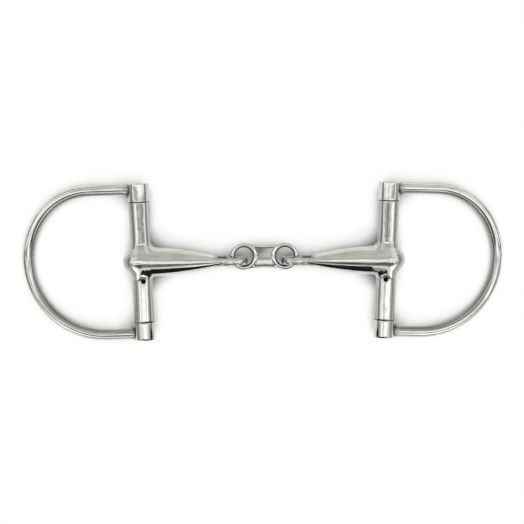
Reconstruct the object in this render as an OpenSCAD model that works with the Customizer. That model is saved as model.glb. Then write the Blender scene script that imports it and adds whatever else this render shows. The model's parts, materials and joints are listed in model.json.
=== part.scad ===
// Snaffle bit with D-shaped cheeks and a French link, lying flat as on a table.
// X runs along the bit, Y across it, Z up. The left half is drawn, and the right half is its mirror.

/* [Mouthpiece] */
// Clear width between the two barrels
mouth_w = 127; // [100:1:160]
// Diameter of a cannon at its thick end, on the barrel's axis
butt_d = 16.8; // [14:0.1:22]
// How far the rounded butt reaches behind the barrel's axis
butt_reach = 10.2; // [8:0.1:14]
// Diameter of a cannon where it runs into its eye
neck_d = 4.8; // [3.5:0.1:8]
// Height of a cannon where it runs into its eye
neck_h = 8.8; // [5:0.1:11]
// Power of the taper, where more keeps the cannon full for longer
taper_power = 1.9; // [1.05:0.05:2.5]
// Size of the blend between cannon and barrel
blend = 4; // [1.5:0.1:6]

/* [Eyes] */
// Hole through a cannon's eye
eye_hole_d = 7; // [5.5:0.1:10]
// Thickness of the eye's bar, measured outward from the hole
eye_bar = 3.7; // [2.5:0.1:5]
// Width of the eye's bar, along the hole
eye_w = 4.3; // [3:0.1:5.5]
// Rounding of the eye's bar
eye_round = 1.5; // [0.3:0.1:2]

/* [French link] */
// Distance between the link's two holes
link_pitch = 23.3; // [20:0.1:32]
// Each hole of the link
link_hole_d = 10.2; // [9.5:0.1:14]
// Width of the rim round each hole
link_rim = 2.65; // [2:0.05:3.5]
// Thickness of the link at its rims
link_t = 3.2; // [2.4:0.1:4]
// Rounding of the rims
link_round = 1.2; // [0.3:0.1:1.4]
// Width of the link at its waist
waist_w = 12.9; // [9:0.1:15]
// Radius of the hollow sides of the waist
waist_r = 60; // [30:1:120]
// How much thinner the waist is than the rims, on each face
waist_step = 0.2; // [0.1:0.05:0.4]
// Depth of the sunk panel on each face of the waist
panel_sink = 0.55; // [0.2:0.05:0.8]
// Width of the raised border along the panel
panel_border = 1.9; // [1:0.1:3]
// Play between a rim's edge and the eye's hole, along the bit
rim_play = 0.67; // [0.45:0.01:1]
// Least gap between link and eye
link_gap = 0.33; // [0.2:0.01:0.4]

/* [Barrels] */
// Length of a barrel between its knuckles
barrel_l = 67.9; // [55:0.1:90]
// Diameter of a barrel at its ends
barrel_d = 11.9; // [10:0.1:14]
// Diameter of a barrel towards its middle
barrel_waist_d = 11.3; // [9.5:0.1:14]
// Diameter of the hinge pin
pin_d = 6; // [4:0.1:7]
// Lean of the barrel against its cannon, lower end inwards
barrel_cant = 1.8; // [0:0.1:6]
// Running clearance round the pin, on the radius
pin_gap = 0.05; // [0.02:0.01:0.1]
// Vent hole from the barrel's face into its bore
vent_d = 2.5; // [1:0.1:3.5]
// Distance from the side of the butt to the middle of the vent hole
vent_off = 2.1; // [1:0.1:8]
// How far the vent hole lies from the barrel's top line towards the link
vent_in = 0.7; // [0:0.1:1.5]

/* [Cheeks] */
// Diameter of a knuckle
knuckle_d = 12; // [10:0.1:15]
// Height of a knuckle
knuckle_h = 10.1; // [8.5:0.1:16]
// Chamfer round a knuckle's outer end
knuckle_chamfer = 0.4; // [0.1:0.1:1]
// Gap at the seam between barrel and knuckle
seam = 0.25; // [0.1:0.05:0.5]
// Diameter of the bow's bar
bow_d = 6.2; // [5:0.1:8]
// How far the middle of the bow's bar stands out from the barrel's axis
bow_reach = 64.5; // [56:0.1:85]
// How far the bow's main arc is centred above the middle of the barrel
bow_rise = 1.8; // [0.5:0.1:5]
// Angle above the middle at which the upper shoulder begins
shoulder_at = 30; // [10:1:50]
// How far the bow's bar stands back from the knuckle's end
bow_inset = 0.1; // [0.05:0.05:1]
// Radius of the weld in the corner of bow and knuckle
weld_r = 2.8; // [1:0.1:3]
// Thickness of that weld
weld_t = 3.6; // [1:0.1:5]

/* [Hidden] */
$fn = 64;
overlap = 1;

// Cannon, barrel and eye, in a half's own frame: cannon along +X, barrel across it at the origin
butt_r = butt_d / 2;
neck_r = neck_d / 2;
eye_hole_r = eye_hole_d / 2;
eye_r = eye_hole_r + eye_bar;
half_l = barrel_l / 2;
barrel_end_r = barrel_d / 2;
barrel_waist_r = barrel_waist_d / 2;
link_r = link_hole_d / 2 + link_rim;
eye_x = link_pitch / 2 + link_r - eye_hole_r + rim_play;
eye_reach = mouth_w / 2 + barrel_end_r - eye_x;
taper_l = eye_reach - eye_r;
butt_rise = pow(max(blend - butt_r + barrel_waist_r, 0), 2) / (4 * blend);
vent_y = -(butt_r + vent_off);

// Cheek, in the barrel's frame with the bow towards -X
cheek_h = half_l + seam + knuckle_h;
bow_bar_r = bow_d / 2;
arm_y = cheek_h - bow_inset - bow_bar_r;
bow_r = arm_y + bow_rise;
bow_x = bow_reach - bow_r;
shoulder_r = (arm_y - bow_rise - bow_r * sin(shoulder_at)) / (1 - sin(shoulder_at));
shoulder_x = bow_x + (bow_r - shoulder_r) * cos(shoulder_at);
weld_room = arm_y - bow_bar_r - half_l - 2 * seam;
weld_fit_r = min(weld_r, weld_room);

// Where the link's rim lies in the eye: as low and as far across as the gap allows
rim_round = min(link_round, 0.49 * link_rim, 0.49 * link_t);
bar_round = min(eye_round, 0.49 * eye_bar, 0.49 * eye_w);
rim_lift = link_t / 2 - rim_round;
link_drop = sqrt(pow(eye_hole_r - link_gap - rim_round, 2)
  - pow(eye_hole_r - rim_play - rim_round, 2)) - rim_lift;
hole_to_eye = eye_x - link_pitch / 2;
link_low = link_drop + link_t / 2;
bar_side = max(eye_r - bar_round - hole_to_eye,
  hole_to_eye - bar_round - sqrt(max(pow(eye_hole_r, 2) - pow(link_low, 2), 0)));
link_shift = sqrt(pow(link_hole_d / 2 - link_gap - bar_round, 2) - pow(bar_side, 2)) - eye_w / 2 + bar_round;

// How the pieces lie: butts, eyes and bows all touch the table
eye_z = eye_r;
barrel_z = butt_r + butt_rise;
cannon_tilt = asin((barrel_z - eye_z) / eye_reach);
cheek_tilt = asin((barrel_z - bow_bar_r) / bow_reach);
y_high = cheek_h * cos(barrel_cant) + (knuckle_d / 2 - knuckle_chamfer) * sin(barrel_cant);
y_low = bow_rise * cos(barrel_cant) - bow_x * sin(barrel_cant) - bow_r - bow_bar_r;
eye_y = -(y_high + y_low) / 2;

bright_steel = [0.80, 0.80, 0.79];
satin_steel = [0.66, 0.66, 0.65];
pin_steel = [0.55, 0.55, 0.56];

// Outline of a rounded oblong from corner [x, y], as a closed list of points
function oblong(x, y, w, h, r, steps = 5) = [
  for (corner = [0:3], i = [0:steps])
    let (a = 90 * (corner + i / steps))
      [x + (corner == 0 || corner == 3 ? w - r : r) + r * cos(a),
       y + (corner < 2 ? h - r : r) + r * sin(a)]
];

// Radius of the cannon at x along its axis, and of the barrel at y along its own
function cannon_r(x) = butt_r - (butt_r - neck_r) * pow(min(max(x, 0) / taper_l, 1), taper_power);
function barrel_r(y) = barrel_waist_r + (barrel_end_r - barrel_waist_r) * pow(y / half_l, 2);

// Signed distances to the skins, and the two melted together
function cannon_skin(x, q) =
  x < 0 ? butt_r * (norm([x / butt_reach, q / butt_r]) - 1) : q - cannon_r(x);
function barrel_skin(x, y, z) =
  let (c = cos(barrel_cant), s = sin(barrel_cant))
    norm([x * c + y * s, z]) - barrel_r(y * c - x * s);
function melt(a, b) = min(a, b) - pow(max(blend - abs(a - b), 0), 2) / (4 * blend);
function skin(p) = melt(barrel_skin(p[0], p[1], p[2]), cannon_skin(p[0], norm([p[1], p[2]])));

// Point where the skin is met on the way from one point, inside it, to another, outside it
function skin_between(inside, outside, tries = 26) =
  let (mid = (inside + outside) / 2)
    tries == 0 ? mid :
    skin(mid) < 0
      ? skin_between(mid, outside, tries - 1)
      : skin_between(inside, mid, tries - 1);

function two_triangles(a, b, c, d) = [[a, b, c], [a, c, d]];

// Barrel and cannon as one skin. Rows go round the barrel, open towards the cannon up to cut_x, and from
// there rings go on along the cannon. Rows square to the cannon near it turn square to the barrel at its ends.
module barrel_and_cannon(around = 40, cut_rows = 16, end_rows = 9, rings = 10) {
  cut_x = barrel_end_r + 2 * blend;
  cut_r = cannon_r(cut_x);
  ring_end = eye_reach - eye_hole_r - eye_bar / 2;
  loop = 2 * cut_rows;
  last_row = cut_rows + 2 * end_rows;
  end_y = half_l * cos(barrel_cant);
  function row_y(side, i) = side * (cut_r + (end_y - cut_r) * pow(i / end_rows, 1.7));
  rows = [
    for (i = [end_rows:-1:1]) [row_y(-1, i), i / end_rows],
    for (i = [0:cut_rows]) [-cut_r * cos(180 * i / cut_rows), 0],
    for (i = [1:end_rows]) [row_y(1, i), i / end_rows]
  ];
  function row_point(row, i) =
    let (
      y = row[0],
      lean = row[1] * tan(barrel_cant),
      axis = [-y * tan(barrel_cant), y, 0],
      cut = cut_x - axis[0],
      open = atan2(sqrt(max(cut_r * cut_r - y * y, 0)), cut),
      t = i / around,
      a = open + (360 - 2 * open) * (t - 0.09 * sin(360 * t)),
      out = [cos(a), cos(a) * lean, sin(a)],
      at_cut = abs(y) <= cut_r && (i == 0 || i == around)
    )
      at_cut ? axis + out * cut / cos(open)
        : skin_between(axis + out * barrel_waist_r / 2, axis + out * (cut_x + blend));
  function ring_point(k, i) =
    let (
      t = k / rings,
      x = cut_x + (ring_end - cut_x) * t,
      a = 360 * i / loop,
      spread = (neck_h / 2 - neck_r) * pow(t, 3)
    ) [x, -cannon_r(x) * cos(a), (cannon_r(x) + spread) * sin(a)];
  points = [
    for (row = rows, i = [0:around]) row_point(row, i),
    for (k = [1:rings], i = [0:loop - 1]) ring_point(k, i)
  ];
  function shut(j) = j <= end_rows || j >= end_rows + cut_rows;
  function row_index(j, i) = j * (around + 1) + (shut(j) && i == around ? 0 : i);
  function cut_index(i) =
    i <= cut_rows ? row_index(end_rows + i, 0) : row_index(end_rows + loop - i, around);
  function ring_index(k, i) =
    k == 0 ? cut_index(i % loop) : (last_row + 1) * (around + 1) + (k - 1) * loop + i % loop;
  faces = [
    [for (i = [around - 1:-1:0]) row_index(0, i)],
    [for (i = [0:around - 1]) row_index(last_row, i)],
    [for (i = [0:loop - 1]) ring_index(rings, i)],
    for (j = [0:last_row - 1], i = [0:around - 1])
      each two_triangles(row_index(j, i), row_index(j, i + 1), row_index(j + 1, i + 1), row_index(j + 1, i)),
    for (k = [0:rings - 1], i = [0:loop - 1])
      each two_triangles(ring_index(k, i), ring_index(k, i + 1), ring_index(k + 1, i + 1), ring_index(k + 1, i))
  ];
  polyhedron(points, faces);
}

// Ring round the Y axis with a rounded section, lying at the end of the cannon
module eye() {
  translate([eye_reach, 0, 0])
    rotate([90, 0, 0])
      rotate_extrude()
        polygon(oblong(eye_hole_r, -eye_w / 2, eye_bar, eye_w, bar_round));
}

// One casting: barrel, cannon and eye, bored for the pin and vented into the bore
module cannon() {
  difference() {
    union() {
      barrel_and_cannon();
      eye();
    }
    rotate([0, 0, barrel_cant]) {
      translate([0, half_l + overlap, 0])
        rotate([90, 0, 0])
          cylinder(h = barrel_l + 2 * overlap, r = pin_d / 2 + pin_gap);
      translate([vent_in, vent_y, 0])
        cylinder(h = butt_d, d = vent_d);
    }
  }
}

module hinge_pin() {
  translate([0, cheek_h, 0])
    rotate([90, 0, 0])
      cylinder(h = 2 * cheek_h, d = pin_d);
}

// Turned collar beyond the barrel's upper end, chamfered at its outer end
module knuckle() {
  r = knuckle_d / 2;
  translate([0, half_l + seam, 0])
    rotate([-90, 0, 0])
      rotate_extrude()
        polygon([
          [pin_d / 2, 0],
          [r, 0],
          [r, knuckle_h - knuckle_chamfer],
          [r - knuckle_chamfer, knuckle_h],
          [pin_d / 2, knuckle_h]
        ]);
}

// Round bar along the D, from the lower knuckle's axis round to the upper one's
module bow_bar(sides = 24, main_steps = 20, shoulder_steps = 10) {
  turn = 180 - shoulder_at;
  main = [for (i = [0:main_steps]) 270 - (270 - turn) * i / main_steps];
  shoulder = [for (i = [1:shoulder_steps]) turn - (turn - 90) * i / shoulder_steps];
  stations = [
    [0, -arm_y, 270],
    for (a = main) [bow_r * cos(a) - bow_x, bow_r * sin(a) + bow_rise, a],
    for (a = shoulder) [shoulder_r * cos(a) - shoulder_x, shoulder_r * (sin(a) - 1) + arm_y, a],
    [0, arm_y, 90]
  ];
  last = len(stations) - 1;
  points = [
    for (s = stations, i = [0:sides - 1])
      let (b = 360 * i / sides)
        [s[0] + bow_bar_r * cos(b) * cos(s[2]), s[1] + bow_bar_r * cos(b) * sin(s[2]), bow_bar_r * sin(b)]
  ];
  function at(k, i) = k * sides + i % sides;
  faces = [
    [for (i = [0:sides - 1]) at(0, i)],
    [for (i = [sides - 1:-1:0]) at(last, i)],
    for (k = [0:last - 1], i = [0:sides - 1])
      each two_triangles(at(k, i), at(k + 1, i), at(k + 1, i + 1), at(k, i + 1))
  ];
  polyhedron(points, faces);
}

// Hollow weld between the bow's upper arm and its knuckle
module weld() {
  corner_y = arm_y - bow_bar_r;
  foot_x = -knuckle_d / 2 - weld_fit_r;
  linear_extrude(height = weld_t, center = true)
    difference() {
      translate([foot_x, corner_y - weld_fit_r])
        square([knuckle_d / 2 + weld_fit_r, weld_fit_r + bow_bar_r]);
      translate([foot_x, corner_y - weld_fit_r])
        circle(r = weld_fit_r);
    }
}

// Round bar bent into a D, coped to sit against both knuckles
module bow() {
  difference() {
    union() {
      bow_bar();
      weld();
      mirror([0, 1, 0]) weld();
    }
    translate([0, cheek_h + overlap, 0])
      rotate([90, 0, 0])
        cylinder(h = 2 * (cheek_h + overlap), d = knuckle_d);
  }
}

// Waist's outline between the rims, drawn in by inset at its hollow sides
module waist_outline(inset = 0, steps = 12) {
  end_x = link_pitch / 2;
  function side_y(x) = waist_w / 2 - inset + waist_r - sqrt(waist_r * waist_r - x * x);
  xs = [for (i = [0:steps]) end_x * (2 * i / steps - 1)];
  difference() {
    polygon([
      for (x = xs) [x, min(side_y(x), link_r - link_rim / 2)],
      for (i = [steps:-1:0]) [xs[i], -min(side_y(xs[i]), link_r - link_rim / 2)]
    ]);
    for (side = [-1, 1])
      translate([side * link_pitch / 2, 0])
        circle(r = inset > 0 ? link_r : link_r - link_rim / 2);
  }
}

// Flat link: two rims joined by a waist with a sunk panel on each face
module link() {
  waist_t = link_t - 2 * waist_step;
  for (side = [-1, 1])
    translate([side * link_pitch / 2, 0, 0])
      rotate_extrude()
        polygon(oblong(link_hole_d / 2, -link_t / 2, link_rim, link_t, rim_round));
  difference() {
    linear_extrude(height = waist_t, center = true)
      waist_outline();
    for (face = [-1, 1])
      translate([0, 0, face * waist_t / 2])
        linear_extrude(height = 2 * panel_sink, center = true)
          waist_outline(inset = panel_border);
  }
}

// Places what is drawn in a half's own frame, on the left or mirrored to the right
module half(side) {
  mirror([side == "left" ? 0 : 1, 0, 0])
    translate([-eye_x, eye_y, eye_z])
      rotate([0, cannon_tilt, 0])
        translate([-eye_reach, 0, 0])
          children();
}

module cheek(side) {
  half(side)
    rotate([0, 0, barrel_cant])
      rotate([0, -cheek_tilt - cannon_tilt, 0])
        children();
}

module left_bow() { color(satin_steel) cheek("left") bow(); }
module left_upper_knuckle() { color(bright_steel) cheek("left") knuckle(); }
module left_lower_knuckle() { color(bright_steel) cheek("left") mirror([0, 1, 0]) knuckle(); }
module left_hinge_pin() { color(pin_steel) cheek("left") hinge_pin(); }
module left_cannon() { color(bright_steel) half("left") cannon(); }
module french_link() { color(satin_steel) translate([0, eye_y + link_shift, eye_z - link_drop]) link(); }
module right_cannon() { color(bright_steel) half("right") cannon(); }
module right_hinge_pin() { color(pin_steel) cheek("right") hinge_pin(); }
module right_upper_knuckle() { color(bright_steel) cheek("right") knuckle(); }
module right_lower_knuckle() { color(bright_steel) cheek("right") mirror([0, 1, 0]) knuckle(); }
module right_bow() { color(satin_steel) cheek("right") bow(); }

left_bow();
left_upper_knuckle();
left_lower_knuckle();
left_hinge_pin();
left_cannon();
french_link();
right_cannon();
right_hinge_pin();
right_upper_knuckle();
right_lower_knuckle();
right_bow();
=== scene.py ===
import json
import math

import bpy
import numpy as np
from mathutils import Matrix, Vector

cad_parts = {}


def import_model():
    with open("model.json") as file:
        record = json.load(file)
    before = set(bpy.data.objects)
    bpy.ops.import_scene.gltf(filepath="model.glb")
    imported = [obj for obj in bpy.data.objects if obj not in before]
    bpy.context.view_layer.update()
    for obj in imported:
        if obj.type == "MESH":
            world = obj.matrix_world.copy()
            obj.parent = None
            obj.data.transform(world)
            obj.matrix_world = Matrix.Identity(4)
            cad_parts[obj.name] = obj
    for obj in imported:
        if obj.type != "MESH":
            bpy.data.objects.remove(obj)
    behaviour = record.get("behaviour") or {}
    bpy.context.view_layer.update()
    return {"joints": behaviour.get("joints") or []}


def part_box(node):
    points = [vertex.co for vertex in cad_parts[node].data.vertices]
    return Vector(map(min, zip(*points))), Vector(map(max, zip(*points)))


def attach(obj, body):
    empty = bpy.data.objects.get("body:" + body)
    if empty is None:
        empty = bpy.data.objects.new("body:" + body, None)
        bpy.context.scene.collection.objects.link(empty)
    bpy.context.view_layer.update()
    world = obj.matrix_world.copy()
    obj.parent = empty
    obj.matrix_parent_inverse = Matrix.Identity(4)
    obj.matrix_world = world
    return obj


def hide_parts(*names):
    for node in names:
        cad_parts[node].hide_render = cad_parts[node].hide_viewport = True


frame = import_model()

MM = 0.001
IMAGE_PX = 524

# Sizes in millimetres, as the solids have them
BUTT_R, BUTT_REACH = 8.4, 10.2
NECK_R, NECK_HALF_H = 2.4, 4.4
TAPER_POWER, BLEND = 1.9, 4.0
EYE_HOLE_R, EYE_BAR, EYE_W = 3.5, 3.7, 4.3
LINK_PITCH, LINK_HOLE_R, LINK_RIM = 23.3, 5.1, 2.65
LINK_T, LINK_ROUND = 3.2, 1.2
WAIST_W, WAIST_R, WAIST_STEP = 12.9, 60.0, 0.2
BARREL_HALF_L, BARREL_END_R, BARREL_WAIST_R = 33.95, 5.95, 5.65
PIN_R, PIN_GAP = 3.0, 0.05
VENT_R, VENT_OFF, VENT_IN = 1.25, 2.1, 0.7
KNUCKLE_R, KNUCKLE_H, SEAM = 6.0, 10.1, 0.25
BOW_BAR_R, BOW_REACH, BOW_RISE, BOW_INSET = 3.1, 64.5, 1.8, 0.1
SHOULDER_AT = math.radians(30)

# Finer forms that only the drawn pieces have, in millimetres
NECK_FROM = 14.0  # where along the cannon its neck starts to stand up
CORNER, CORNER_L = 1.6, 6.0  # how much tighter the corner below the cannon is, and over what length
EYE_ROUND, EYE_BLEND = 1.8, 2.4
EYE_EDGE, END_EDGE, BORE_EDGE, VENT_EDGE = 0.5, 0.6, 0.3, 0.5
PANEL_SINK, PANEL_BORDER, NEAR_BORDER = 0.6, 1.4, 2.5
CREST_R, CREST_SLOPE = 9.0, 0.3  # the link's rounded crest along its near side
KNUCKLE_EDGE, SEAM_EDGE = 0.55, 0.15
PIN_EDGE, PIN_DOME = 0.25, 0.06
WELD_INNER, WELD_FLANK, WELD_OUTER = 2.9, 1.7, 0.06  # how far the weld spreads on each side of the bar
SKIN = 0.035  # how far the drawn bar lies inside the solid one

# Steps of the drawn surfaces
CANNON_STEP, LINK_STEP = 0.3, 0.16  # millimetres
RING_STEPS, PIN_STEPS, BAR_STEPS = 120, 72, 64  # round a knuckle, a pin and the bow's bar

CHEEK_H = BARREL_HALF_L + SEAM + KNUCKLE_H
ARM_Y = CHEEK_H - BOW_INSET - BOW_BAR_R
BOW_R = ARM_Y + BOW_RISE
BOW_X = BOW_REACH - BOW_R
SHOULDER_R = (ARM_Y - BOW_RISE - BOW_R * math.sin(SHOULDER_AT)) / (1 - math.sin(SHOULDER_AT))
SHOULDER_X = BOW_X + (BOW_R - SHOULDER_R) * math.cos(SHOULDER_AT)
BAR_R = BOW_BAR_R - SKIN
EYE_R = EYE_HOLE_R + EYE_BAR
LINK_R = LINK_HOLE_R + LINK_RIM

# Where things lie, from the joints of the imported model
JOINTS = {j["name"]: j for j in frame["joints"]}
EYE_AT = np.array(JOINTS["left_fold"]["pos_m"]) / MM
BARREL_AT = np.array(JOINTS["left_turn"]["pos_m"]) / MM
BARREL_AXIS = np.array(JOINTS["left_turn"]["axis"])
EYE_REACH = float(np.linalg.norm(EYE_AT - BARREL_AT))
TAPER_L = EYE_REACH - EYE_R
LINK_LOW, LINK_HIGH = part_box("french_link")
LINK_AT = np.array((LINK_LOW + LINK_HIGH) / 2) / MM


def turn_y(a):
    c, s = math.cos(a), math.sin(a)
    return np.array([[c, 0, s], [0, 1, 0], [-s, 0, c]])


def turn_z(a):
    c, s = math.cos(a), math.sin(a)
    return np.array([[c, -s, 0], [s, c, 0], [0, 0, 1]])


CANNON_TILT = math.asin((BARREL_AT[2] - EYE_AT[2]) / EYE_REACH)
CHEEK_TILT = math.asin((BARREL_AT[2] - BOW_BAR_R) / BOW_REACH)
CANT = math.acos(min(1.0, float(BARREL_AXIS[1])))
HALF_TURN = turn_y(CANNON_TILT)
CHEEK_TURN = HALF_TURN @ turn_z(CANT) @ turn_y(-CHEEK_TILT - CANNON_TILT)


# Fields: negative inside, in millimetres

def melt(a, b, k):
    """Both forms together, with the corner between them rounded over k."""
    return np.minimum(a, b) - np.maximum(k - np.abs(a - b), 0) ** 2 / (4 * k)


def cut(a, b, k):
    """What both forms share, with the edge between them rounded over k."""
    return np.maximum(a, b) + np.maximum(k - np.abs(a - b), 0) ** 2 / (4 * k)


def rounded_box(u, v, half_u, half_v, r):
    du = np.abs(u) - (half_u - r)
    dv = np.abs(v) - (half_v - r)
    outside = np.hypot(np.maximum(du, 0), np.maximum(dv, 0))
    return outside + np.minimum(np.maximum(du, dv), 0) - r


def on_barrel(x, y):
    """A place in the half's own frame as one across and along its canted barrel."""
    c, s = math.cos(CANT), math.sin(CANT)
    return x * c + y * s, y * c - x * s


def shaft_field(x, y, z):
    """Tapering cannon, from its rounded butt to the eye."""
    r = BUTT_R - (BUTT_R - NECK_R) * np.clip(x / TAPER_L, 0, 1) ** TAPER_POWER
    stand = np.clip((x - NECK_FROM) / (TAPER_L - NECK_FROM), 0, 1) ** 3
    high = r + (NECK_HALF_H - NECK_R) * stand
    shaft = r * (np.sqrt((y / r) ** 2 + (z / high) ** 2) - 1)
    butt = BUTT_R * (np.sqrt((x / BUTT_REACH) ** 2 + (y ** 2 + z ** 2) / BUTT_R ** 2) - 1)
    shaft = np.where(x < 0, butt, shaft)
    return np.maximum(shaft, x - (EYE_REACH - EYE_HOLE_R - EYE_BAR / 2))


def cannon_field(x, y, z):
    """Barrel, cannon and eye of one casting, in the half's own frame."""
    u, w = on_barrel(x, y)
    axial = np.hypot(u, z)
    barrel = axial - (BARREL_WAIST_R + (BARREL_END_R - BARREL_WAIST_R) * (w / BARREL_HALF_L) ** 2)
    under = np.clip(-w / CORNER_L, 0, 1) * np.clip(2 * u / CORNER_L + 0.5, 0, 1)
    body = melt(barrel, shaft_field(x, y, z), BLEND - CORNER * under)
    ring_r = np.hypot(x - EYE_REACH, z)
    ring = rounded_box(ring_r - EYE_HOLE_R - EYE_BAR / 2, y, EYE_BAR / 2, EYE_W / 2, EYE_ROUND)
    body = melt(body, ring, EYE_BLEND)
    body = cut(body, EYE_HOLE_R - ring_r, EYE_EDGE)
    body = cut(body, np.abs(w) - BARREL_HALF_L, END_EDGE)
    body = cut(body, PIN_R + PIN_GAP - axial, BORE_EDGE)
    vent = VENT_R - np.hypot(u - VENT_IN, w + BUTT_R + VENT_OFF)
    return np.where(z > 0, cut(body, vent, VENT_EDGE), body)


def link_field(x, y, z):
    """Flat link about its own middle: two rims, and a waist with a sunk panel and a near crest."""
    waist_round, rim_joint, waist_joint = 0.9, 0.4, 0.9
    floor_round, corner_round, panel_round, panel_edge = 0.25, 0.8, 0.5, 0.35
    rim_land = 0.2
    side = np.abs(x) - LINK_PITCH / 2
    hole = np.hypot(side, y)
    rim = rounded_box(hole - LINK_HOLE_R - LINK_RIM / 2, z, LINK_RIM / 2, LINK_T / 2, LINK_ROUND)
    edge = WAIST_W / 2 + WAIST_R - np.sqrt(np.maximum(WAIST_R ** 2 - x ** 2, 1))
    half_t = LINK_T / 2 - WAIST_STEP
    past = y + edge - NEAR_BORDER
    turned = np.minimum(np.abs(past), CREST_R * CREST_SLOPE)
    drop = turned ** 2 / (2 * CREST_R) + CREST_SLOPE * (np.abs(past) - turned)
    waist = rounded_box(np.abs(y), z, edge, half_t - np.where(past < 0, drop, 0), waist_round)
    waist = cut(waist, np.maximum(side, LINK_R - LINK_RIM / 2 - hole), rim_joint)
    depth = melt(np.where(past > 0, drop, 0), PANEL_SINK, floor_round)
    panel = cut(y - (edge - PANEL_BORDER), LINK_R - rim_land - hole, corner_round)
    panel = cut(panel, half_t - depth - np.abs(z), panel_round)
    waist = np.where(past > 0, cut(waist, -panel, panel_edge), waist)
    return melt(rim, waist, waist_joint)


# Surfaces of the fields

CORNERS = [(i, j, k) for i in (0, 1) for j in (0, 1) for k in (0, 1)]


def at_corner(values, corner):
    """The values at one corner of every cell of the grid."""
    return values[tuple(slice(o, o + n - 1) for o, n in zip(corner, values.shape))]


def crossings(grid, active):
    """For each active cell, the mean of the places where its edges pass through zero, in steps."""
    where = np.argwhere(active)
    total = np.zeros((len(where), 3))
    hits = np.zeros(len(where))
    value = {corner: at_corner(grid, corner)[active] for corner in CORNERS}
    for start in CORNERS:
        for axis in range(3):
            if start[axis]:
                continue
            stop = tuple(1 if i == axis else start[i] for i in range(3))
            crossed = (value[start] < 0) != (value[stop] < 0)
            share = value[start] / np.where(crossed, value[start] - value[stop], 1)
            point = np.array(start, float) + share[:, None] * np.eye(3)[axis]
            total += np.where(crossed[:, None], point, 0)
            hits += crossed
    return where + total / hits[:, None]


def quads_round(inside, number):
    """A quad for each edge of the grid with one end inside, from the numbers of the four cells round it."""
    quads = []
    for axis in range(3):
        p, q = [i for i in range(3) if i != axis]
        first = [slice(1, -1)] * 3
        first[axis] = slice(0, -1)
        second = list(first)
        second[axis] = slice(1, None)
        start, stop = inside[tuple(first)], inside[tuple(second)]
        for sign in (True, False):
            spot = np.argwhere((start == sign) & (stop != sign))
            spot[:, [p, q]] += 1
            around = []
            for dp, dq in ((-1, -1), (0, -1), (0, 0), (-1, 0)):
                cell = spot.copy()
                cell[:, p] += dp
                cell[:, q] += dq
                around.append(number[tuple(cell.T)])
            ring = np.stack(around, 1)
            quads.append(ring if sign != (axis == 1) else ring[:, ::-1])
    return np.concatenate(quads)


def slope(field, points, h=0.01):
    out = np.empty_like(points)
    for i in range(3):
        shift = np.zeros(3)
        shift[i] = h
        out[:, i] = (field(*(points + shift).T) - field(*(points - shift).T)) / (2 * h)
    return out


def drawn_to(field, points, rounds=4, least_slope=0.05):
    """The points, moved along the field's slope onto its zero."""
    for _ in range(rounds):
        g = slope(field, points)
        points = points - (field(*points.T) / np.maximum((g ** 2).sum(1), least_slope))[:, None] * g
    return points


def surface(field, low, high, step):
    """Points and quads over the field's zero, with one point in each grid cell that it passes through."""
    low, high = np.array(low, float), np.array(high, float)
    count = np.ceil((high - low) / step).astype(int) + 1
    lines = [low[i] + step * np.arange(count[i]) for i in range(3)]
    grid = field(*np.meshgrid(*lines, indexing="ij", sparse=True)).astype(np.float32)
    inside = grid < 0
    filled = sum(at_corner(inside, corner).astype(np.int8) for corner in CORNERS)
    active = (filled > 0) & (filled < len(CORNERS))
    number = np.full(active.shape, -1, np.int64)
    number[active] = np.arange(active.sum())
    points = low + step * crossings(grid, active)
    return drawn_to(field, points), quads_round(inside, number)


# Turned and swept surfaces

def lathe(profile, steps=RING_STEPS):
    """Closed ring of the profile's (radius, y) points about the Y axis."""
    a = 2 * math.pi * np.arange(steps) / steps
    r, y = np.array(profile).T
    heights = np.broadcast_to(y, (steps, len(y)))
    points = np.stack([np.outer(np.cos(a), r), heights, np.outer(np.sin(a), r)], -1)
    n = len(profile)
    faces = []
    for i in range(steps):
        j = (i + 1) % steps
        for k in range(n):
            m = (k + 1) % n
            faces.append([i * n + k, i * n + m, j * n + m, j * n + k])
    return points.reshape(-1, 3), faces


def arc(cx, cy, r, start, stop, steps=6):
    a = np.radians(np.linspace(start, stop, steps))
    return [(cx + r * math.cos(t), cy + r * math.sin(t)) for t in a]


def knuckle_profile():
    """(radius, y) round a knuckle's section, from the bore's lower edge outwards."""
    low, top = BARREL_HALF_L + SEAM, CHEEK_H
    bore_edge, pin_edge = 0.12, 0.2
    wall_rows = 14
    outer = [(KNUCKLE_R, y) for y in np.linspace(low + SEAM_EDGE, top - KNUCKLE_EDGE, wall_rows)[1:-1]]
    return (
        [(PIN_R + bore_edge, low)]
        + arc(KNUCKLE_R - SEAM_EDGE, low + SEAM_EDGE, SEAM_EDGE, -90, 0)
        + outer
        + arc(KNUCKLE_R - KNUCKLE_EDGE, top - KNUCKLE_EDGE, KNUCKLE_EDGE, 0, 90, 8)
        + arc(PIN_R + pin_edge, top - pin_edge, pin_edge, 90, 180)
        + [(PIN_R, low + bore_edge)]
    )


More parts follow.
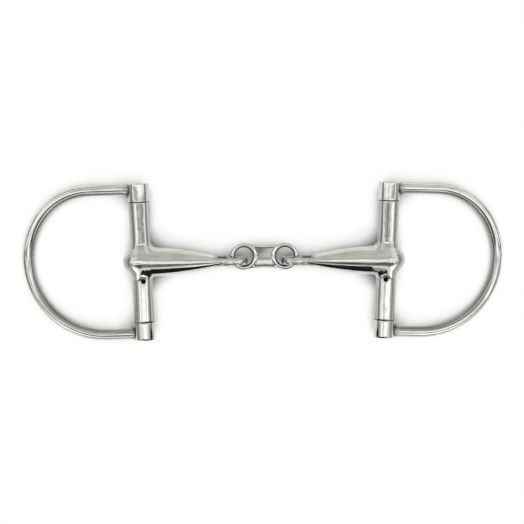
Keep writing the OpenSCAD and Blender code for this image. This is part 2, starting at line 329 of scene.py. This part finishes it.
def pin_mesh():
    """Pin with faintly domed ends, flush with the knuckles."""
    dome_radii, side_rows = (2.2, 1.6, 1.0, 0.5), 41
    shoulder = CHEEK_H - PIN_DOME - PIN_EDGE
    rim = arc(PIN_R - PIN_EDGE, shoulder, PIN_EDGE, 0, 90)
    top = rim + [(r, CHEEK_H - PIN_DOME * (r / PIN_R) ** 2) for r in dome_radii]
    side = [(PIN_R, y) for y in np.linspace(-shoulder, shoulder, side_rows)[1:-1]]
    profile = [(r, -y) for r, y in top[::-1]] + side + top
    points, faces = lathe(profile, PIN_STEPS)
    n = len(profile)
    faces = [f for i, f in enumerate(faces) if i % n != n - 1]
    for y, row, sign in ((-CHEEK_H, 0, 1), (CHEEK_H, n - 1, -1)):
        middle = len(points)
        points = np.vstack([points, [0, y, 0]])
        for i in range(PIN_STEPS):
            pair = [i * n + row, ((i + 1) % PIN_STEPS) * n + row]
            faces.append([middle] + pair[::sign])
    return points, faces


ROUND_BAR = 2 * math.pi * np.arange(BAR_STEPS) / BAR_STEPS
BAR_OUT, BAR_UP = np.cos(ROUND_BAR), np.sin(ROUND_BAR)


def arm_rings(sign, reach_x, weld_rows=12, plain_rows=14):
    """Rings of one arm of the bow, from its hollow weld outwards; sign is +1 for the upper arm."""
    sink, weld_l, weld_lead = 0.5, 1.5, 0.3
    spread = WELD_FLANK * BAR_UP ** 2 + np.where(BAR_OUT > 0, WELD_OUTER, WELD_INNER) * BAR_OUT ** 2
    wide = BAR_R + spread
    meet = -np.sqrt(KNUCKLE_R ** 2 - (BAR_R * BAR_UP) ** 2)
    land = -np.sqrt(np.maximum(KNUCKLE_R ** 2 - (wide * BAR_UP) ** 2, 0.2))
    back = meet - weld_l * spread - weld_lead
    sunk = -np.sqrt(np.maximum((KNUCKLE_R - sink) ** 2 - (wide * BAR_UP) ** 2, 0.1))
    rows = [(sunk, wide)]
    for t in np.linspace(0, 1, weld_rows):
        x = (1 - t) ** 2 * land + 2 * t * (1 - t) * meet + t ** 2 * back
        rho = (1 - t) ** 2 * wide + (1 - (1 - t) ** 2) * BAR_R
        rows.append((x, rho))
    for t in np.linspace(0, 1, plain_rows)[1:-1]:
        rows.append((back + (-reach_x - back) * t, np.full(BAR_STEPS, BAR_R)))
    return [np.stack([x, sign * (ARM_Y + rho * BAR_OUT), rho * BAR_UP], -1) for x, rho in rows]


def arc_ring(cx, cy, r, a):
    """Ring round the bar where it bends about (cx, cy), at angle a."""
    out = r + BAR_R * BAR_OUT
    return np.stack([cx + out * math.cos(a), cy + out * math.sin(a), BAR_R * BAR_UP], -1)


def bow_rings():
    """Rings round the bow's bar, from the lower knuckle round to the upper one."""
    main_rows, shoulder_rows = 150, 70
    turn = math.pi - SHOULDER_AT
    main = np.linspace(1.5 * math.pi, turn, main_rows)
    shoulder = np.linspace(turn, 0.5 * math.pi, shoulder_rows)[1:]
    rings = arm_rings(-1, BOW_X)
    rings += [arc_ring(-BOW_X, BOW_RISE, BOW_R, a) for a in main]
    rings += [arc_ring(-SHOULDER_X, ARM_Y - SHOULDER_R, SHOULDER_R, a) for a in shoulder]
    rings += arm_rings(1, SHOULDER_X)[::-1]
    return np.array(rings)


def swept(rings):
    """Points, faces, corner coordinates along and round the bar, and each ring's distance along it."""
    count, sides = rings.shape[:2]
    points = np.vstack([rings.reshape(-1, 3), rings[0].mean(0), rings[-1].mean(0)])
    start, stop = count * sides, count * sides + 1
    steps = np.linalg.norm(np.diff(rings.mean(1), axis=0), axis=1)
    length = np.concatenate([[0], np.cumsum(steps)])
    girth = 2 * math.pi * BAR_R
    faces, uv = [], []
    for k in range(count - 1):
        here, there = k * sides, (k + 1) * sides
        for i in range(sides):
            j = (i + 1) % sides
            faces.append([here + i, there + i, there + j, here + j])
            v0, v1 = girth * i / sides, girth * (i + 1) / sides
            uv += [(length[k], v0), (length[k + 1], v0), (length[k + 1], v1), (length[k], v1)]
    last = (count - 1) * sides
    for i in range(sides):
        j = (i + 1) % sides
        faces.append([start, i, j])
        faces.append([stop, last + j, last + i])
        uv += [(0, 0)] * 3 + [(length[-1], 0)] * 3
    return points, faces, np.array(uv), length


# Marks on the points: painted shade with a little dullness, and where the polishing lines stand upright

# How much painted shade each place gets, and how dull the eye is, from 0 to 1
DULL_EYE, EYE_TIP_SHADE, SEAM_SHADE, SIDE_SHADE = 0.1, 0.85, 0.8, 0.45
RING_SPARED = 0.55  # share of the flanks' painted shade that the eye's ring is spared
# painted shade on the bow's inner side and at its welds, and how much more the welds' shade is on the inner
# side
BAR_INNER_SHADE, WELD_SHADE, WELD_SHADE_TURN = 0.75, 0.85, 0.15
# painted shade in the link's sunk panel, and how much more in its far left corner
PANEL_SHADE, PANEL_CORNER_SHADE = 0.42, 0.46
WELD_SHADE_FADE = 4.2  # millimetres over which the painted shade at the weld fades


def fade(values, start, stop):
    """0 up to start, 1 from stop on, and even between them."""
    return np.clip((values - start) / (stop - start), 0, 1)


def cannon_marks(points):
    """Painted shade in the bore, at the seams, on the eye's flanks and tip and on the steep sides, and a
    little dullness by the eye; the lines stand upright on the barrel.
    """
    x, y, z = points.T
    across, along = on_barrel(x, y)
    past_eye = x - EYE_REACH
    # painted shade: the bore of the barrel is black
    bore = (np.hypot(across, z) < BARREL_WAIST_R - 0.3) & (np.abs(along) < BARREL_HALF_L - 0.2)
    dull_eye = DULL_EYE * fade(past_eye, -7, -4)
    # painted shade: the neck's flanks are dark beside the ring, and less dark on the ring itself
    flank = fade(np.abs(y), 1.4, 2.0) * fade(past_eye, -13, -9)
    flank *= 1 - RING_SPARED * fade(past_eye, -5.5, -3.5)
    # painted shade: the far end of the eye, down in the link's hole, is dark
    tip = EYE_TIP_SHADE * fade(past_eye, 5.2, 6.4)
    # painted shade in the seam between barrel and knuckle
    seam = SEAM_SHADE * fade(np.abs(along), BARREL_HALF_L - 0.5, BARREL_HALF_L - 0.1)
    upright = fade(np.abs(along), BUTT_R - 1, BUTT_R + 2)
    # painted shade: the barrel's steep sides and the butt's outer end are darker by which way they face
    facing = slope(cannon_field, points)
    facing /= np.linalg.norm(facing, axis=1)[:, None]
    barrel_side = upright * fade(np.abs(facing[:, 2]), 0.68, 0.48)
    butt_side = fade(-facing[:, 0], 0.7, 0.9) * fade(x, 5, 0)
    side = SIDE_SHADE * np.maximum(barrel_side, butt_side)
    painted_shade_and_dullness = np.maximum.reduce([np.where(bore, 1.0, 0.0), dull_eye, flank, tip, seam, side])
    return {"painted_shade_and_dullness": painted_shade_and_dullness, "upright": upright}


def bow_marks(length):
    """Painted shade on the bar's inner side and at the welds."""
    # painted shade: the bar's inner side is darker
    inner_side = BAR_INNER_SHADE * np.clip(-1.5 * BAR_OUT - 0.25, 0, 1) ** 0.7
    # painted shade at the welds, more on the inner side
    from_end = np.minimum(length, length[-1] - length)
    weld = np.clip(1.3 - from_end / WELD_SHADE_FADE, 0, 1)
    painted_shade_and_dullness = np.maximum(inner_side, weld[:, None] * (WELD_SHADE - WELD_SHADE_TURN * BAR_OUT))
    return {"painted_shade_and_dullness": np.append(np.clip(painted_shade_and_dullness, 0, 1).ravel(), [1, 1])}


def link_marks(points):
    """Painted shade round the holes, most on the far side, and in the sunk panel, most in its far left
    corner.
    """
    x, y, z = points.T
    hole = np.hypot(np.abs(x) - LINK_PITCH / 2, y)
    sunk_by = LINK_T / 2 - WAIST_STEP - np.abs(z)
    panel = (hole > LINK_R - 0.3) & (y < WAIST_W / 2 - 1.0) & (y > NEAR_BORDER - WAIST_W / 2)
    # painted shade in the sunk panel, deepest in its far left corner
    corner = PANEL_SHADE + PANEL_CORNER_SHADE * fade(y - x, -6, 6)
    in_panel = np.where(panel, fade(sunk_by, 0, PANEL_SINK) * corner, 0.0)
    # painted shade: a dark ring round each hole, widest on the far side
    rim_w = 0.9 + 0.6 * np.clip(y / LINK_HOLE_R, -0.3, 1)
    at_hole = np.clip(1.2 - (hole - LINK_HOLE_R) / rim_w, 0, 1)
    return {"painted_shade_and_dullness": np.maximum(in_panel, at_hole)}


# Materials

def new_material(name):
    material = bpy.data.materials.new(name)
    material.use_nodes = True
    tree = material.node_tree
    tree.nodes.clear()
    output = tree.nodes.new("ShaderNodeOutputMaterial")
    return material, tree, output


def feed(tree, socket, value):
    """Links the socket to another node's output, or sets it to a plain value."""
    if isinstance(value, bpy.types.NodeSocket):
        tree.links.new(value, socket)
    else:
        socket.default_value = value


def node(tree, kind, **values):
    """New node; each value is one of its settings, or else goes to its input of that name."""
    made = tree.nodes.new(kind)
    for key, value in values.items():
        if hasattr(made, key):
            setattr(made, key, value)
        else:
            feed(tree, made.inputs[key.replace("_", " ")], value)
    return made


def maths(tree, operation, *values):
    made = node(tree, "ShaderNodeMath", operation=operation)
    for socket, value in zip(made.inputs, values):
        feed(tree, socket, value)
    return made.outputs[0]


def level(tree, value, low, high, least, most=1.0):
    """Brings a value between low and high to one between least and most."""
    span = {"From_Min": low, "From_Max": high, "To_Min": least, "To_Max": most}
    return node(tree, "ShaderNodeMapRange", Value=value, **span).outputs["Result"]


def ramp(tree, source, stops):
    """Colour or grey by value, from (place, colour) stops."""
    made = node(tree, "ShaderNodeValToRGB", Fac=source)
    elements = made.color_ramp.elements
    while len(elements) < len(stops):
        elements.new(0.5)
    for element, (place, colour) in zip(elements, stops):
        element.position = place
        element.color = (*colour, 1) if hasattr(colour, "__len__") else (colour, colour, colour, 1)
    return made.outputs["Color"]


def multiplied(tree, first, second):
    """Product of two colours, which a Mix node takes at its inputs 6 and 7 and gives at its output 2."""
    made = node(tree, "ShaderNodeMix", data_type="RGBA", blend_type="MULTIPLY")
    made.inputs[0].default_value = 1.0
    tree.links.new(first, made.inputs[6])
    tree.links.new(second, made.inputs[7])
    return made.outputs[2]


def noise(tree, vector, scale, detail=2.0, roughness=0.5):
    made = node(tree, "ShaderNodeTexNoise", Vector=vector, Scale=scale, Detail=detail, Roughness=roughness)
    return made.outputs["Fac"]


def stretched(tree, source, scale):
    return node(tree, "ShaderNodeMapping", Vector=source, Scale=scale).outputs["Vector"]


def drawn_out(tree, here, along, across, detail):
    """Noise drawn out along X, or along Y where the mark upright is 1."""
    lying = noise(tree, stretched(tree, here, (along, across, across)), 1.0, detail)
    standing = noise(tree, stretched(tree, here, (across, along, across)), 1.0, detail)
    upright = node(tree, "ShaderNodeAttribute", attribute_name="upright").outputs["Fac"]
    either = node(tree, "ShaderNodeMix", data_type="FLOAT")
    tree.links.new(upright, either.inputs[0])
    tree.links.new(lying, either.inputs[2])
    tree.links.new(standing, either.inputs[3])
    return either.outputs[0]


def bump(tree, height, depth, base=None):
    """Normal raised by a height of the given depth in millimetres, on top of a base."""
    made = node(tree, "ShaderNodeBump", Height=height, Strength=1.0, Distance=depth * MM)
    if base is not None:
        tree.links.new(base, made.inputs["Normal"])
    return made.outputs["Normal"]


# Scales of the steel's patterns, per metre, and along and round the bow's bar, per millimetre
LINES_ALONG, LINES_ACROSS = 22.0, 420.0
WAVES_ALONG, WAVES_ACROSS = 28.0, 85.0
BAR_LINES, BAR_WAVES = (0.03, 0.9, 1.0), 75.0
CLOUDS, BLOTCHES, DENTS = 90.0, 260.0, 240.0
MARK_ROUGH = 0.16  # roughness that the full mark of painted shade and dullness adds


def steel(name, tones, gloss, waves, lines, shade_keeps, grain, along_bar=False):
    """Stainless steel: its darker and lighter tone, its least and greatest roughness, the depth of its broad
    and small waves and of its polishing lines in millimetres, the share of its tone that it keeps at 0.7 and
    at 1 of its mark of painted shade and dullness, and the share that its darkest polishing lines keep."""
    material, tree, output = new_material(name)
    place = node(tree, "ShaderNodeTexCoord").outputs
    here = place["Object"]
    shade_dull_mark = node(tree, "ShaderNodeAttribute", attribute_name="painted_shade_and_dullness").outputs["Fac"]
    if along_bar:
        streak = noise(tree, stretched(tree, place["UV"], BAR_LINES), 1.0)
        wave = noise(tree, here, BAR_WAVES, 1.0, 0.4)
    else:
        streak = drawn_out(tree, here, LINES_ALONG, LINES_ACROSS, 1.5)
        wave = drawn_out(tree, here, WAVES_ALONG, WAVES_ACROSS, 1.0)
    clean = ramp(tree, noise(tree, here, CLOUDS, 4.0, 0.6), [(0.3, tones[0]), (0.7, tones[1])])
    # painted shade: the mark darkens the tone, to black where it is full; the eye's slight dullness darkens
    # it a little
    shaded_tone = multiplied(tree, clean, ramp(tree, shade_dull_mark, [(0.0, 1.0), (0.7, shade_keeps[0]), (1.0, shade_keeps[1])]))
    lined = multiplied(tree, shaded_tone, ramp(tree, streak, [(0.36, grain), (0.56, 1.0)]))
    blotch = maths(tree, "MULTIPLY", streak, noise(tree, here, BLOTCHES, 3.0, 0.55))
    polish = ramp(tree, blotch, [(0.12, gloss[0]), (0.42, gloss[1])])
    rough = maths(tree, "MULTIPLY_ADD", shade_dull_mark, MARK_ROUGH, polish)
    normal = bump(tree, wave, waves[0])
    normal = bump(tree, noise(tree, here, DENTS, 1.0, 0.4), waves[1], normal)
    normal = bump(tree, streak, lines, normal)
    look = {"Metallic": 1.0, "Base_Color": lined, "Roughness": rough, "Normal": normal}
    shader = node(tree, "ShaderNodeBsdfPrincipled", **look)
    tree.links.new(shader.outputs["BSDF"], output.inputs["Surface"])
    return material


POLISHED = steel(
    "polished_steel",
    tones=[(0.53, 0.53, 0.515), (0.60, 0.60, 0.58)],
    gloss=(0.05, 0.12),
    waves=(0.2, 0.02),
    lines=0.05,
    shade_keeps=(0.4, 0.03),
    grain=0.84,
)
SATIN = steel(
    "satin_steel",
    tones=[(0.58, 0.58, 0.565), (0.69, 0.69, 0.67)],
    gloss=(0.05, 0.13),
    waves=(0.08, 0.01),
    lines=0.04,
    shade_keeps=(0.45, 0.1),
    grain=0.6,
    along_bar=True,
)
LINK_SATIN = steel(
    "link_steel",
    tones=[(0.54, 0.55, 0.535), (0.62, 0.63, 0.615)],
    gloss=(0.05, 0.11),
    waves=(0.01, 0.003),
    lines=0.002,
    shade_keeps=(0.55, 0.03),
    grain=0.95,
)
GROUND = steel(
    "pin_steel",
    tones=[(0.42, 0.42, 0.42), (0.54, 0.54, 0.54)],
    gloss=(0.18, 0.30),
    waves=(0.01, 0.004),
    lines=0.004,
    shade_keeps=(0.4, 0.03),
    grain=0.9,
)


# Pieces, made for the left side and mirrored for the right

MIRROR_X, MIRROR_Y = np.array([-1, 1, 1]), np.array([1, -1, 1])
RIGHT_LINES = np.array([500, 0])  # shift that gives the right bow other polishing lines than the left one


def in_half(points):
    return points @ HALF_TURN.T + BARREL_AT


def in_cheek(points):
    return points @ CHEEK_TURN.T + BARREL_AT


def add_mesh(name, points, faces, marks, uv=None):
    """Makes an object from points in millimetres; uv is given per face corner, marks per point."""
    mesh = bpy.data.meshes.new(name)
    mesh.from_pydata((np.asarray(points) * MM).tolist(), [], [list(map(int, f)) for f in faces])
    mesh.shade_smooth()
    if uv is not None:
        layer = mesh.uv_layers.new(name="along")
        layer.data.foreach_set("uv", np.asarray(uv, np.float32).ravel())
    for mark, values in marks.items():
        layer = mesh.attributes.new(mark, "FLOAT", "POINT")
        layer.data.foreach_set("value", np.asarray(values, np.float32))
    mesh.update()
    piece = bpy.data.objects.new(name, mesh)
    bpy.context.scene.collection.objects.link(piece)
    return piece


def add_on_side(side, name, points, faces, marks, uv=None):
    """The left side's piece, or its mirror image for the right."""
    if side == "right":
        if uv is not None:
            cuts = np.cumsum([len(f) for f in faces])[:-1]
            uv = np.concatenate([part[::-1] for part in np.split(uv, cuts)]) + RIGHT_LINES
        points = points * MIRROR_X
        faces = [list(f)[::-1] for f in faces]
    return add_mesh(f"{side}_{name}", points, faces, marks, uv)


def dress(piece, material, body, slot, *nodes):
    """Gives a piece its material and body, and hides the solids of the nodes that it stands for; slot is not
    used.
    """
    piece.data.materials.append(material)
    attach(piece, body)
    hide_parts(*nodes)


def cannon_piece():
    """Points, faces and marks of the left cannon, kept inside its solid's box."""
    low, high = (-11.2, -36, -9.6), (EYE_REACH + 8, 36, 9.6)  # a little more than the casting needs
    points, faces = surface(cannon_field, low, high, CANNON_STEP)
    box = [np.array(corner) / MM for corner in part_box("left_cannon")]
    return np.clip(in_half(points), *box), faces, cannon_marks(points)


def bow_piece():
    """Points, faces, marks and corner coordinates of the left bow."""
    points, faces, uv, length = swept(bow_rings())
    return in_cheek(points), faces, bow_marks(length), uv


def knuckle_piece(end):
    """Points, faces and marks of the left cheek's upper or lower knuckle, with painted shade at its seam."""
    points, faces = lathe(knuckle_profile())
    # painted shade in the seam against the barrel
    seam = points[:, 1] < BARREL_HALF_L + SEAM + 0.1
    marks = {"painted_shade_and_dullness": np.where(seam, SEAM_SHADE, 0.0), "upright": np.ones(len(points))}
    if end == "lower":
        points = points * MIRROR_Y
        faces = [f[::-1] for f in faces]
    return in_cheek(points), faces, marks


def pin_piece():
    """Points, faces and marks of the left pin, with painted shade, black, inside the barrel."""
    points, faces = pin_mesh()
    # painted shade: the pin is black where the barrel hides it
    inside = np.abs(points[:, 1]) < BARREL_HALF_L
    return in_cheek(points), faces, {"painted_shade_and_dullness": np.where(inside, 1.0, 0.0)}


def link_piece():
    """Points, faces and marks of the middle link."""
    half = np.array([20.2, 8.5, 2.4])  # a little more than the link needs
    points, faces = surface(link_field, -half, half, LINK_STEP)
    return points + LINK_AT, faces, link_marks(points)


CANNON, BOW, PIN = cannon_piece(), bow_piece(), pin_piece()
KNUCKLES = {end: knuckle_piece(end) for end in ("upper", "lower")}
for side in ("left", "right"):
    cannon = add_on_side(side, "cannon_skin", *CANNON)
    dress(cannon, POLISHED, f"{side}_cannon", "polished_steel", f"{side}_cannon")
    bow = add_on_side(side, "bow_bar", *BOW)
    dress(bow, SATIN, f"{side}_cheek", "satin_steel", f"{side}_bow")
    for end, knuckle in KNUCKLES.items():
        collar = add_on_side(side, f"{end}_collar", *knuckle)
        dress(collar, POLISHED, f"{side}_cheek", "polished_steel", f"{side}_{end}_knuckle")
    pin = add_on_side(side, "pin", *PIN)
    dress(pin, GROUND, f"{side}_cheek", "pin_steel", f"{side}_hinge_pin")
link = add_mesh("french_link_plate", *link_piece())
dress(link, LINK_SATIN, "link", "satin_steel", "french_link")


# Floor and backdrop, in metres

FLOOR_HALF, BACKDROP_HALF, BACKDROP_Z = 3.0, 6.0, -0.3
PAPER, MIRRORED_PAPER = (0.5, 0.5, 0.5, 1), (0.6, 0.6, 0.6, 1)
MIRRORED_GLOW = 0.68
CLOSE, WIDE = 0.012, 0.015  # how far the shadow looks for what closes it in
UP, NEAR_SIDE = (0.0, 0.0, 1.0), (0.0, -0.5, 0.85)
FAR_SIDES = [(-0.52, 0.3, 0.8), (0.52, 0.3, 0.8)]
# Openness that counts as closed, openness that counts as open, and the tint where closed
CLOSE_TINT, WIDE_TINT, PIT_TINT = (0.22, 0.6, 0.3), (0.4, 0.72, 0.8), (0.5, 0.86, 0.25)


def shown(tree):
    """1 for what the camera sees, straight or mirrored, and 0 for light."""
    path = node(tree, "ShaderNodeLightPath").outputs
    mirrored = maths(tree, "MAXIMUM", path["Is Glossy Ray"], path["Is Transmission Ray"])
    return maths(tree, "MAXIMUM", path["Is Camera Ray"], mirrored)


def add_stage(name, corners):
    """Flat face of the stage through the corners, with its object and an empty material."""
    mesh = bpy.data.meshes.new(name)
    mesh.from_pydata(corners, [], [tuple(range(len(corners)))])
    plane = bpy.data.objects.new(name, mesh)
    bpy.context.scene.collection.objects.link(plane)
    material, tree, output = new_material(name)
    mesh.materials.append(material)
    return plane, tree, output


def plate(name, half, z):
    """Level square about the origin."""
    corners = [(-half, -half, z), (half, -half, z), (half, half, z), (-half, half, z)]
    return add_stage(name, corners)[1:]


def backdrop():
    """White board below the floor, for what the floor lets through."""
    tree, output = plate("backdrop", BACKDROP_HALF, BACKDROP_Z)
    glow = node(tree, "ShaderNodeEmission", Color=(1, 1, 0.995, 1), Strength=shown(tree))
    tree.links.new(glow.outputs["Emission"], output.inputs["Surface"])


def openness(tree, distance, facing):
    """How little lies within the distance of a point, on the side that it faces."""
    side = node(tree, "ShaderNodeCombineXYZ", X=facing[0], Y=facing[1], Z=facing[2]).outputs["Vector"]
    near = node(tree, "ShaderNodeAmbientOcclusion", samples=12, Distance=distance, Normal=side)
    return near.outputs["AO"]


def mixed(tree, share, first, second):
    """The first shader where share is 0 and the second where it is 1."""
    made = node(tree, "ShaderNodeMixShader", Fac=share)
    tree.links.new(first, made.inputs[1])
    tree.links.new(second, made.inputs[2])
    return made.outputs["Shader"]


def seen_floor(tree, close):
    """Clear sheet, tinted by the shadow: close to the object, wide on its far side, and deep in its holes."""
    near_side = openness(tree, WIDE, NEAR_SIDE)
    far_sides = maths(tree, "MAXIMUM", *(openness(tree, CLOSE, facing) for facing in FAR_SIDES))
    wide = level(tree, near_side, *WIDE_TINT)
    pit = level(tree, maths(tree, "MAXIMUM", near_side, far_sides), *PIT_TINT)
    shade = maths(tree, "MULTIPLY", maths(tree, "MULTIPLY", close, wide), pit)
    return node(tree, "ShaderNodeBsdfTransparent", Color=shade).outputs["BSDF"]


def mirrored_floor(tree, close):
    """Lit paper that also lets some of the backdrop through."""
    glow = maths(tree, "MULTIPLY", close, MIRRORED_GLOW)
    through = node(tree, "ShaderNodeBsdfTransparent", Color=glow)
    paper = node(tree, "ShaderNodeBsdfDiffuse", Color=MIRRORED_PAPER)
    both = node(tree, "ShaderNodeAddShader")
    tree.links.new(paper.outputs["BSDF"], both.inputs[0])
    tree.links.new(through.outputs["BSDF"], both.inputs[1])
    return both.outputs["Shader"]


def floor():
    """Pale sheet that keeps the object's shadow. It lets the backdrop through, so that a half that folds
    below the table still shows; for light it is plain paper."""
    tree, output = plate("floor", FLOOR_HALF, 0.0)
    close = level(tree, openness(tree, CLOSE, UP), *CLOSE_TINT)
    straight = node(tree, "ShaderNodeLightPath").outputs["Is Camera Ray"]
    seen = mixed(tree, straight, mirrored_floor(tree, close), seen_floor(tree, close))
    paper = node(tree, "ShaderNodeBsdfDiffuse", Color=PAPER)
    sheet = mixed(tree, shown(tree), paper.outputs["BSDF"], seen)
    tree.links.new(sheet, output.inputs["Surface"])


# Light: a pale room, two soft lamps, and boards that only the steel mirrors

ROOM_LIGHT = 0.3
# The room's colour from the near side, 0, to the far side, 1
ROOM = [
    (0.00, (0.50, 0.50, 0.48)),
    (0.35, (0.60, 0.60, 0.575)),
    (0.52, (0.78, 0.775, 0.74)),
    (0.57, (0.84, 0.835, 0.785)),
    (0.62, (0.74, 0.735, 0.69)),
    (0.70, (0.80, 0.795, 0.74)),
    (0.80, (0.90, 0.89, 0.83)),
    (0.90, (0.78, 0.775, 0.72)),
    (1.00, (0.84, 0.83, 0.77)),
]
LAMP_X, LAMP_Y, LAMP_Z = 0.55, -0.55, 1.0
LAMP_SIZE, LAMP_GLOW = 0.5, 9.0
BOARD_H = 4.0
BOARD_COLOUR = (1, 1, 0.98, 1)
# Angles towards the near side of straight up at which the overhead boards follow each other, in degrees
LINE_FROM, GREY_FROM, BRIGHT_FROM, PANEL_FROM, PANEL_TO = -8.5, 3.2, 6.6, 11.3, 37.0
WINDOW_FROM = 40.0
STRIP_ENDS = (-70, 70)
FLAG_X, FLAG_HALF_Y, FLAG_TOP = 0.8, 0.35, 0.32
FRONT_Y, FRONT_BLACK, FRONT_SLANT = -0.056, 0.02, 0.12


def world():
    """Studio by direction: a pale room, a little darker towards the near side."""
    made = bpy.data.worlds.new("studio")
    made.use_nodes = True
    tree = made.node_tree
    tree.nodes.clear()
    output = tree.nodes.new("ShaderNodeOutputWorld")
    place = node(tree, "ShaderNodeTexCoord").outputs["Generated"]
    parts = node(tree, "ShaderNodeSeparateXYZ", Vector=place)
    far = maths(tree, "MULTIPLY_ADD", parts.outputs["Y"], 0.5, 0.5)
    strength = level(tree, shown(tree), 0.0, 1.0, ROOM_LIGHT)
    back = node(tree, "ShaderNodeBackground", Color=ramp(tree, far, ROOM), Strength=strength)
    tree.links.new(back.outputs["Background"], output.inputs["Surface"])
    bpy.context.scene.world = made


def lamp(name, at, size, glow):
    """Square softbox aimed at the origin, which the steel doesn't mirror; glow is its brightness."""
    data = bpy.data.lights.new(name, "AREA")
    data.shape = "RECTANGLE"
    data.size, data.size_y = size, size
    data.energy = glow * math.pi * size * size
    made = bpy.data.objects.new(name, data)
    made.location = at
    made.visible_camera = False
    made.visible_glossy = False
    made.rotation_mode = "QUATERNION"
    made.rotation_quaternion = (-Vector(at)).to_track_quat("-Z", "Y")
    bpy.context.scene.collection.objects.link(made)


def card(name, corners, glow, streaks=None):
    """Flag or bright board, shown only by what it mirrors in; glow 1 is white.
    With streaks, a noise of that scale across the object varies the glow between its two values."""
    plane, tree, output = add_stage(name, corners)
    if streaks:
        place = node(tree, "ShaderNodeTexCoord").outputs["Object"]
        line = noise(tree, stretched(tree, place, (streaks, 0.6, 0.0)), 1.0, 3.0, 0.6)
        glow = level(tree, line, 0.38, 0.62, *glow)
    shine = node(tree, "ShaderNodeEmission", Color=BOARD_COLOUR, Strength=glow)
    tree.links.new(shine.outputs["Emission"], output.inputs["Surface"])
    plane.visible_camera = False
    plane.visible_diffuse = False
    plane.visible_shadow = False


def board(name, near, right, glow, streaks=None):
    """Card far above, between two angles to the near side and two to the right of straight up, in degrees."""
    y0, y1 = (-BOARD_H * math.tan(math.radians(a)) for a in near)
    x0, x1 = (BOARD_H * math.tan(math.radians(a)) for a in right)
    corners = [(x0, y1), (x1, y1), (x1, y0), (x0, y0)]
    card(name, [(x, y, BOARD_H) for x, y in corners], glow, streaks)


def round_card(name, at, radii, glow, streaks=None, steps=48):
    """Level oval card about a point."""
    turns = [2 * math.pi * i / steps for i in range(steps)]
    rim = [(at[0] + radii[0] * math.cos(a), at[1] + radii[1] * math.sin(a), at[2]) for a in turns]
    card(name, rim, glow, streaks)


def front_flag(name, x, foot, tops):
    """Black upright card close in front, from foot up to the tops at its two ends, the first end slanted."""
    slant = x[0] + FRONT_SLANT * (x[1] - x[0])
    corners = [(x[0], foot), (x[1], foot), (x[1], tops[1]), (slant, tops[0])]
    card(name, [(along, FRONT_Y, z) for along, z in corners], FRONT_BLACK)


def side_flag(name, x, glow):
    """Grey upright card beside the object."""
    corners = [(-FLAG_HALF_Y, 0), (FLAG_HALF_Y, 0), (FLAG_HALF_Y, FLAG_TOP), (-FLAG_HALF_Y, FLAG_TOP)]
    card(name, [(x, y, z) for y, z in corners], glow)


def boards():
    """What the steel mirrors: strips and windows overhead, flags in front and at the sides."""
    board("line_strip", (LINE_FROM, GREY_FROM), STRIP_ENDS, (1.1, 2.3), 0.9)
    board("grey_strip", (GREY_FROM, BRIGHT_FROM), STRIP_ENDS, (0.15, 0.8), 1.4)
    board("bright_strip", (BRIGHT_FROM, PANEL_FROM), STRIP_ENDS, (1.05, 2.3), 0.9)
    round_card("top_flag", (0.0, -0.49, 1.0), (0.95, 0.25), (0.03, 0.3), 6.0)
    board("window", (WINDOW_FROM, 58.0), (-20, 20), 1.1)
    for side, sign in (("left", -1), ("right", 1)):
        board(f"{side}_panel", (PANEL_FROM, PANEL_TO), sorted((8 * sign, 45 * sign)), 1.3)
        board(f"{side}_window", (WINDOW_FROM, 64.0), sorted((20 * sign, 60 * sign)), 2.0)
        board(f"{side}_far_panel", (-64.0, -16.0), sorted((30 * sign, 68 * sign)), (0.8, 1.5), 1.2)
    front_flag("left_front_flag", (-0.068, -0.008), 0.0, (0.057, 0.043))
    front_flag("right_front_flag", (0.065, 0.008), 0.002, (0.068, 0.053))
    side_flag("left_flag", -FLAG_X, 0.34)
    side_flag("right_flag", FLAG_X, 0.40)


# Camera, from the photograph

AIM = np.array([-1.37, -0.69, 6.0])  # millimetres
DISTANCE, MM_PER_PX = 700.0, 0.568
TILT, YAW, ROLL = (math.radians(a) for a in (6.5, 2.03, 0.24))
SENSOR = 36.0


def camera():
    """Camera above the object, a little to its near side."""
    turn = turn_y(YAW).T
    right = turn @ np.array([1, 0, 0])
    up = turn @ np.array([0, math.cos(TILT), -math.sin(TILT)])
    back = turn @ np.array([0, math.sin(TILT), math.cos(TILT)])
    c, s = math.cos(ROLL), math.sin(ROLL)
    axes = Matrix([right * c - up * s, right * s + up * c, back]).transposed()
    data = bpy.data.cameras.new("camera")
    data.sensor_width = SENSOR
    data.lens = SENSOR * DISTANCE / (IMAGE_PX * MM_PER_PX)
    data.clip_start, data.clip_end = 0.01, 20.0
    made = bpy.data.objects.new("camera", data)
    made.matrix_world = Matrix.Translation((AIM + back * DISTANCE) * MM) @ axes.to_4x4()
    bpy.context.scene.collection.objects.link(made)
    bpy.context.scene.camera = made


backdrop()
floor()
world()
lamp("left_fill", (-LAMP_X, LAMP_Y, LAMP_Z), LAMP_SIZE, LAMP_GLOW)
lamp("right_fill", (LAMP_X, LAMP_Y, LAMP_Z), LAMP_SIZE, LAMP_GLOW)
boards()
camera()

view = bpy.context.scene.view_settings
view.view_transform = "Standard"
